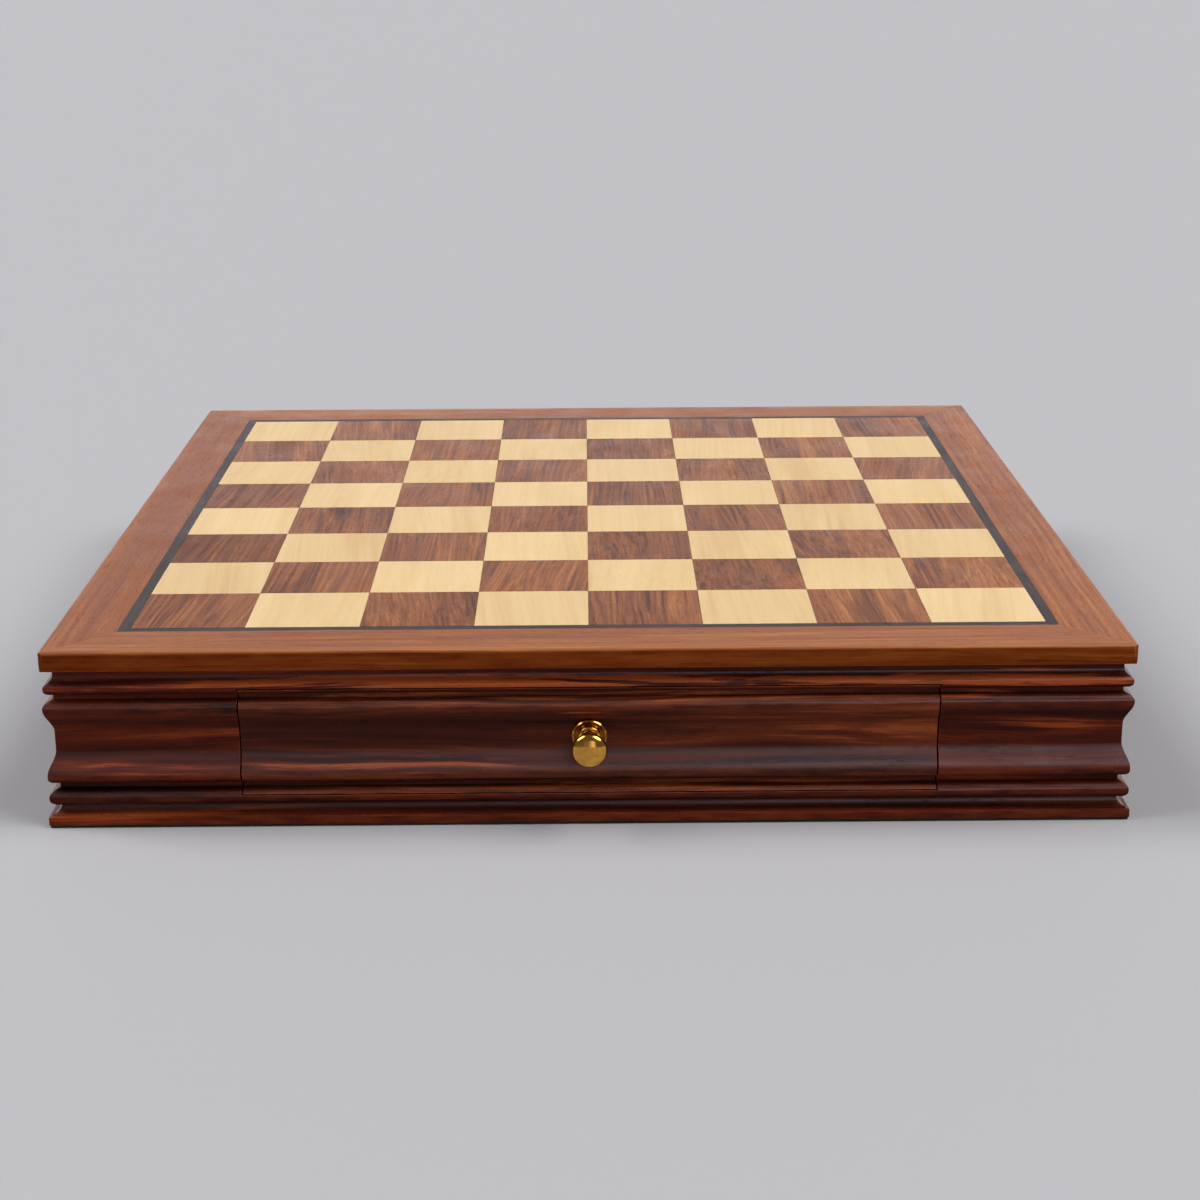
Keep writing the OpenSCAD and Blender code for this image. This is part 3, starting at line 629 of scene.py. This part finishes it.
# ---------------------------------------------------------------- Drawers
# Two equal drawers, one at the front and one at the back. Each has a front sawn from a moulded
# board like the case's, so that the moulding runs on, with the sides let into its ends and the
# floor in its groove; the back stands on the floor between the sides.
front_w = 341 * mm
face_arris = 0.4 * mm
edge_gap = 0.6 * mm
side_gap = 1.3 * mm
slide_gap = 0.3 * mm
kick_gap = 1.4 * mm
rear_gap = 0.5 * mm
wall_t = 9 * mm
side_t = 8 * mm
back_t = 8 * mm
side_lap = 8 * mm
floor_t = 4 * mm
floor_up = 3 * mm
groove_in = 4 * mm
box_half = opening_x - side_gap
box_in = box_half - side_t
box_z = opening_low + slide_gap
box_top = opening_high - kick_gap
box_front = -inner
box_rear = -wall_t / 2 - rear_gap
back_face = box_rear - back_t
floor_z = box_z + floor_up
lining_z = floor_z + floor_t

cove_in = 4.6 * mm
knob_z = 44.95 * mm
rosette_d = 17.3 * mm
seat_gap = 0.3 * mm
screw_bore_r = 2.1 * mm
recess_r = 5 * mm
recess_in = 3.4 * mm


def dowel(radius, from_y, to_y, steps=48):
    """A round tool on the knob's axis."""
    bm = bmesh.new()
    turn = Matrix.Translation((0, (from_y + to_y) / 2, knob_z)) @ Matrix.Rotation(pi / 2, 4, "X")
    bmesh.ops.create_cone(bm, cap_ends=True, segments=steps, radius1=radius, radius2=radius,
                          depth=abs(to_y - from_y), matrix=turn)
    return bm


def to_end(bm, end):
    """Turns a piece made for the front drawer to its own end of the box."""
    if end == "back":
        bmesh.ops.rotate(bm, cent=(0, 0, 0), matrix=Matrix.Rotation(pi, 3, "Z"), verts=bm.verts)
    return bm


def drawer_face():
    """A drawer's front, sawn from the moulding and cut out for its sides, its floor and its knob."""
    face = length_of(case_section, front_w)
    saw(face, (0, 0, opening_high - edge_gap), (0, 0, 1))
    saw(face, (0, 0, opening_low + edge_gap), (0, 0, -1))
    saw(face, (0, box_front, 0), (0, 1, 0))
    far = 2 * half
    carve(
        face,
        block((box_in, box_front - side_lap, 0), (far, 0, far)),
        block((-far, box_front - side_lap, 0), (-box_in, 0, far)),
        block((-box_in, box_front - groove_in, floor_z), (box_in, 0, lining_z)),
        dowel(rosette_d / 2 + seat_gap, -far, cove_in - half),
        dowel(screw_bore_r, -far, 0, 24),
        dowel(recess_r, box_front - recess_in, 0, 32),
    )
    rims = [e for x in (-front_w / 2, front_w / 2) for e in edges_on(face, (x, 0, 0), (1, 0, 0))]
    heights = (opening_high - edge_gap, opening_low + edge_gap)
    rims += [e for z in heights for e in edges_on(face, (0, 0, z), (0, 0, 1))]
    soften(face, [e for e in rims if e.calc_face_angle(0) > sharp], face_arris, 3)
    return face


def plank(low, high, arris=0.5 * mm, grooves=()):
    """A planed board with its arrises taken off, and grooves or notches cut in it."""
    board = block(low, high)
    soften(board, board.edges, arris, 2)
    return carve(board, *[block(*groove) for groove in grooves]) if grooves else board


face_tones = ((40, 17, 12), (60, 25, 16), (90, 37, 21), (124, 55, 27), (172, 85, 42))
face_marks = {
    "front": (
        ((0.125, -0.262, 0.0445), (0.040, 0.02, 0.0050), 0.5),
        ((-0.095, -0.262, 0.0320), (0.075, 0.02, 0.0046), 0.6),
        ((0.000, -0.262, 0.0650), (0.170, 0.02, 0.0030), 0.5),
        ((0.000, -0.262, 0.0195), (0.170, 0.02, 0.0028), 0.4),
        ((0.000, -0.262, 0.0575), (0.018, 0.02, 0.0030), 0.9),
        ((-0.100, -0.262, 0.0500), (0.100, 0.02, 0.0080), -0.15),
    ),
    "back": (((-0.060, 0.262, 0.0480), (0.070, 0.02, 0.0080), 0.4),),
}
side_tones = ((134, 92, 54), (160, 116, 70), (180, 136, 88), (196, 154, 104))
slat_tones = ((160, 120, 76), (184, 144, 98), (200, 164, 116))
side_wood = timber("drawer_side_wood", side_tones, turn=90, polish=0.5, pores=0.3)
back_wood = timber("drawer_back_wood", side_tones, shift=(2.2, 0.1, 0.3), polish=0.5, pores=0.3)
slat_wood_x = timber("slat_wood_x", slat_tones, polish=0.5, pores=0.2)
slat_wood_y = timber("slat_wood_y", slat_tones, turn=90, shift=(0.7, 0.3, 0.1), polish=0.5, pores=0.2)
lining_felt = wool_felt("lining_felt_wool", (28, 74, 46), (50, 104, 68))

lining_t = 1 * mm
slat_t = 3 * mm
slat_drop = 3.5 * mm
slat_fit = 0.2 * mm
slat_arris = 0.4 * mm
notch = slat_t / 2 + slat_fit
short_bay = 54 * mm
slat_z = lining_z + lining_t
slat_top = box_top - slat_drop
slat_mid = (slat_z + slat_top) / 2
row_pitch = (back_face - box_front + slat_t) / 4
long_slat_y = [box_front - slat_t / 2 + i * row_pitch for i in (1, 2, 3)]
cross_slat_x = [-(short_bay + slat_t), 0, short_bay + slat_t]


def joined(parts):
    """Several separate pieces of wood in one mesh."""
    whole = bmesh.new()
    for part in parts:
        mesh = bpy.data.meshes.new("bench")
        part.to_mesh(mesh)
        part.free()
        whole.from_mesh(mesh)
        bpy.data.meshes.remove(mesh)
    return whole


for end in ("front", "back"):
    drawer = end + "_drawer"
    from_tree = (0.8, 0.37, 0.9) if end == "front" else (2.9, 0.1, 0.2)
    wood = timber(drawer + "_face_wood", face_tones, shift=from_tree, marks=face_marks[end], **case_figure)
    face = set_down(to_end(drawer_face(), end), drawer + "_front_board", wood, drawer)
    # Painted shade in the hollows, under the members and near the table; wear and painted highlight on noses
    # and arrises.
    paint_wear_and_shade(face, 0.5 * mm, 0.75)
    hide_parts(drawer + "_face")

    for hand, s in (("left", -1), ("right", 1)):
        low_x, high_x = sorted((s * box_in, s * box_half))
        groove = sorted((s * (box_in - 1 * mm), s * (box_in + groove_in)))
        side = plank((low_x, box_front - side_lap, box_z), (high_x, box_rear, box_top),
                     grooves=[((groove[0], -1, floor_z), (groove[1], 1, lining_z))])
        piece = set_down(to_end(side, end), f"{drawer}_side_board_{hand}", side_wood, drawer)
        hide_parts(f"{drawer}_{hand}_side")

    back = plank((-box_in, back_face, lining_z), (box_in, box_rear, box_top))
    piece = set_down(to_end(back, end), drawer + "_back_board", back_wood, drawer)
    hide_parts(drawer + "_back")

    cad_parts[drawer + "_floor"].data.materials.clear()
    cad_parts[drawer + "_floor"].data.materials.append(core_wood)

    lining = felt_sheet((-box_in, box_front, lining_z), (box_in, back_face, slat_z), 0.2 * mm, 60, 0.15 * mm)
    piece = set_down(to_end(lining, end), drawer + "_felt_lining", lining_felt, drawer)
    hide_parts(drawer + "_lining")

    long_slats = joined(
        plank(
            (slat_fit - box_in, y - slat_t / 2, slat_z), (box_in - slat_fit, y + slat_t / 2, slat_top),
            slat_arris,
            [((x - notch, y - slat_t, slat_mid), (x + notch, y + slat_t, 1)) for x in cross_slat_x],
        )
        for y in long_slat_y
    )
    piece = set_down(to_end(long_slats, end), drawer + "_slats_across", slat_wood_x, drawer)
    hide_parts(drawer + "_long_slats")
    cross_slats = joined(
        plank(
            (x - slat_t / 2, box_front + slat_fit, slat_z), (x + slat_t / 2, back_face - slat_fit, slat_top),
            slat_arris,
            [((x - slat_t, y - notch, 0), (x + slat_t, y + notch, slat_mid)) for y in long_slat_y],
        )
        for x in cross_slat_x
    )
    piece = set_down(to_end(cross_slats, end), drawer + "_slats_lengthwise", slat_wood_y, drawer)
    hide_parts(drawer + "_cross_slats")


# ---------------------------------------------------------------- Brass knobs
# Each knob is turned from brass bar and polished: a collar, a waist and a flattened ball, on a
# dished rosette that is let into the cove. A screw from inside the drawer holds both.
rosette_t = 2.4 * mm
rim_w = 0.9 * mm
dish_in = 1 * mm
collar_d = 11.4 * mm
collar_l = 2.6 * mm
waist_d = 7.2 * mm
head_d = 17.3 * mm
head_l = 8.6 * mm
head_reach = 18.2 * mm
knob_grip = 9 * mm


def turned(profile, steps=96):
    """A piece turned on the lathe, from points (radius, distance out from the seat)."""
    bm = bmesh.new()
    seat_y = cove_in - half
    points = [bm.verts.new((radius, seat_y - out, knob_z)) for radius, out in profile]
    lines = [bm.edges.new(pair) for pair in zip(points, points[1:])]
    bmesh.ops.spin(bm, geom=points + lines, cent=(0, seat_y, knob_z), axis=(0, 1, 0), dvec=(0, 0, 0),
                   angle=2 * pi, steps=steps, use_merge=True)
    bmesh.ops.remove_doubles(bm, verts=bm.verts, dist=1e-7)
    return bm


def arc(start, end, leaves, count=9):
    """A quarter of an ellipse between two points; it leaves straight out or sideways."""
    across, out = Vector((end[0] - start[0], 0)), Vector((0, end[1] - start[1]))
    first, last = (out, across) if leaves == "out" else (across, out)
    a, b = Vector(start), Vector(end)
    return [Vector(p[:2]) for p in interpolate_bezier(a, a + first * 0.5523, b - last * 0.5523, b, count)]


def polished_brass(name, dull_inside=0.0):
    """Lacquered brass: bright, with faint turning marks, handling smears and a few darker specks. It
    has gone dull closer to its axis than that radius, where no polishing cloth reaches."""
    finish, tree, shader = blank_finish(name)
    place = add_node(tree, "TexCoord").outputs["Object"]
    cloud = {"Vector": place, "Scale": 240.0, "Detail": 3.0, "Distortion": 0.8}
    smears = add_node(tree, "TexNoise", cloud).outputs[0]
    specks = add_node(tree, "TexNoise", {"Vector": place, "Scale": 1500.0, "Detail": 2.0}).outputs[0]
    metal = blended(tree, figured(tree, smears, 0.35, 0.7), tint(212, 158, 58), tint(186, 130, 40))
    metal = blended(tree, figured(tree, specks, 0.66, 0.76, 0.0, 0.5), metal, tint(120, 78, 30))
    if dull_inside:
        off_axis = {"Vector": place, "Location": (0, 0, -knob_z), "Scale": (1, 0, 1)}
        off_axis = add_node(tree, "Mapping", off_axis).outputs[0]
        radius = add_node(tree, "VectorMath", {0: off_axis}, operation="LENGTH")
        dull = figured(tree, radius.outputs["Value"], dull_inside - 0.2 * mm, dull_inside, 0.65, 0.0)
        metal = blended(tree, dull, metal, tint(106, 72, 28))
    tree.links.new(metal, shader.inputs["Base Color"])
    tree.links.new(figured(tree, smears, 0.3, 0.7, 0.1, 0.19), shader.inputs["Roughness"])
    rings = add_node(tree, "Mapping", {"Vector": place, "Scale": (150.0, 3000.0, 150.0)}).outputs[0]
    marks = add_node(tree, "TexNoise", {"Vector": rings, "Scale": 1.0, "Detail": 2.0}).outputs[0]
    lathe = add_node(tree, "Bump", {"Height": marks, "Strength": 0.05, "Distance": 0.0001})
    tree.links.new(lathe.outputs[0], shader.inputs["Normal"])
    shader.inputs["Metallic"].default_value = 1.0
    shader.inputs["Coat Weight"].default_value = 0.6
    shader.inputs["Coat Roughness"].default_value = 0.08
    return finish


foot = rosette_t - dish_in
rim_r = rosette_d / 2 - rim_w
knob_brass = polished_brass("knob_brass")
rosette_brass = polished_brass("rosette_brass", rim_r)
lip_r = 0.2 * mm
bevel_l, bevel_in = 0.6 * mm, 0.54 * mm
rosette_profile = (
    [(screw_bore_r, 0), (rosette_d / 2 - lip_r, 0)]
    + arc((rosette_d / 2 - lip_r, 0), (rosette_d / 2, lip_r), "sideways", 4)[1:]
    + [(rosette_d / 2, rosette_t - bevel_l), (rosette_d / 2 - bevel_in, rosette_t)]
    + arc((rim_r + lip_r, rosette_t), (rim_r, rosette_t - lip_r), "sideways", 5)
    + [(rim_r + (collar_d / 2 - rim_r) * t, rosette_t - lip_r - (dish_in - lip_r) * (1 - (1 - t) ** 2))
       for t in (0.12, 0.25, 0.4, 0.6, 0.8, 1.0)]
    + [(screw_bore_r, foot), (screw_bore_r, 0)]
)
centre = rosette_t + head_reach
neck_r = (collar_d - collar_l) / 2
collar_top = foot + collar_l
screw_end = foot + knob_grip + collar_l
waist_end = (collar_top + centre - head_l / 2) / 2
ball = head_d / 2
knob_profile = (
    [(0, screw_end), (screw_bore_r, screw_end), (screw_bore_r, foot), (neck_r, foot)]
    + arc((neck_r, foot), (collar_d / 2, foot + collar_l / 2), "sideways", 9)[1:]
    + arc((collar_d / 2, foot + collar_l / 2), (neck_r, collar_top), "out", 9)[1:]
    + arc((neck_r, collar_top), (waist_d / 2, waist_end), "out", 9)[1:]
    + arc((waist_d / 2, centre - head_l / 2 * 0.9), (ball, centre), "sideways", 17)
    + arc((ball, centre), (0, centre + head_l / 2), "out", 21)[1:]
)
for end in ("front", "back"):
    drawer = end + "_drawer"
    rosette = to_end(turned(rosette_profile), end)
    rosette = set_down(rosette, drawer + "_brass_rosette", rosette_brass, drawer)
    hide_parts(drawer + "_rosette")
    knob = set_down(to_end(turned(knob_profile), end), drawer + "_brass_knob", knob_brass, drawer)
    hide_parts(drawer + "_knob")


# ---------------------------------------------------------------- Stage, light and camera
# A plain pale floor that runs on to the horizon in a dim room: two soft boxes hang overhead, one to
# each side, with a wide window in front and a daylit wall behind. The camera is in front, above.
floor_bm = bmesh.new()
bmesh.ops.create_grid(floor_bm, x_segments=2, y_segments=2, size=40)
floor_mesh = bpy.data.meshes.new("floor")
floor_bm.to_mesh(floor_mesh)
floor_bm.free()
floor = bpy.data.objects.new("floor", floor_mesh)
bpy.context.scene.collection.objects.link(floor)
floor_finish, _, floor_shader = blank_finish("floor_paint")
floor_shader.inputs["Base Color"].default_value = tint(176, 175, 177)
floor_shader.inputs["Roughness"].default_value = 0.7
floor_mesh.materials.append(floor_finish)

world = bpy.data.worlds.new("studio")
world.use_nodes = True
sky = world.node_tree
toward = add_node(sky, "TexCoord").outputs["Generated"]
lengths = add_node(sky, "SeparateXYZ", {0: toward}).outputs


def within(*limits):
    """How far a direction lies within several limits, each (value, from, to)."""
    share = 1.0
    for value, outside, inside in limits:
        part = figured(sky, value, outside, inside)
        share = add_node(sky, "Math", {0: part, 1: share}, operation="MULTIPLY").outputs[0]
    return share


room = blended(sky, figured(sky, lengths["Y"], -0.5, 0.6), (0.17, 0.17, 0.18, 1), (0.13, 0.13, 0.14, 1))
aside = add_node(sky, "Math", {0: lengths["X"]}, operation="ABSOLUTE").outputs[0]
wall = within((lengths["Y"], 0.6, 0.85), (lengths["Z"], 0.29, 0.2))
window = within((lengths["Y"], -0.55, -0.65), (lengths["Z"], 0.56, 0.48), (aside, 0.38, 0.32))
daylight = blended(sky, figured(sky, lengths["X"], -0.05, 0.25), (0.3, 0.3, 0.33, 1), (1.7, 1.7, 1.95, 1))
glow = blended(sky, window, blended(sky, wall, room, (1.1, 1.08, 1.15, 1)), daylight)
for seen, facing in (((0.61, -0.10, 0.79), (0.935, 0.962)), ((-0.66, 0.08, 0.75), (0.94, 0.965))):
    lit = add_node(sky, "VectorMath", {0: toward, 1: Vector(seen).normalized()}, operation="DOT_PRODUCT")
    glow = blended(sky, figured(sky, lit.outputs["Value"], *facing), glow, (7.3, 7.3, 7.4, 1))
far_floor = figured(sky, lengths["Z"], 0.04, 0.02)
glow = blended(sky, far_floor, glow, (0.58, 0.58, 0.6, 1))
sky.links.new(glow, sky.nodes["Background"].inputs["Color"])
bpy.context.scene.world = world

camera = bpy.data.objects.new("camera", bpy.data.cameras.new("camera"))
camera.data.sensor_width = 36
camera.data.lens = 67.618
camera.data.clip_end = 90
bpy.context.scene.collection.objects.link(camera)
look = Euler((radians(17.479), radians(-0.335), radians(-0.43)), "XYZ").to_matrix()
look = look @ Matrix(((1, 0, 0), (0, 0, -1), (0, 1, 0)))
turn = (look.transposed() @ Matrix.Diagonal((1, -1, -1))).to_4x4()
camera.matrix_world = Matrix.Translation((-0.00077, -1.29462, 0.43975)) @ turn
bpy.context.scene.camera = camera
bpy.context.scene.view_settings.view_transform = "Standard"
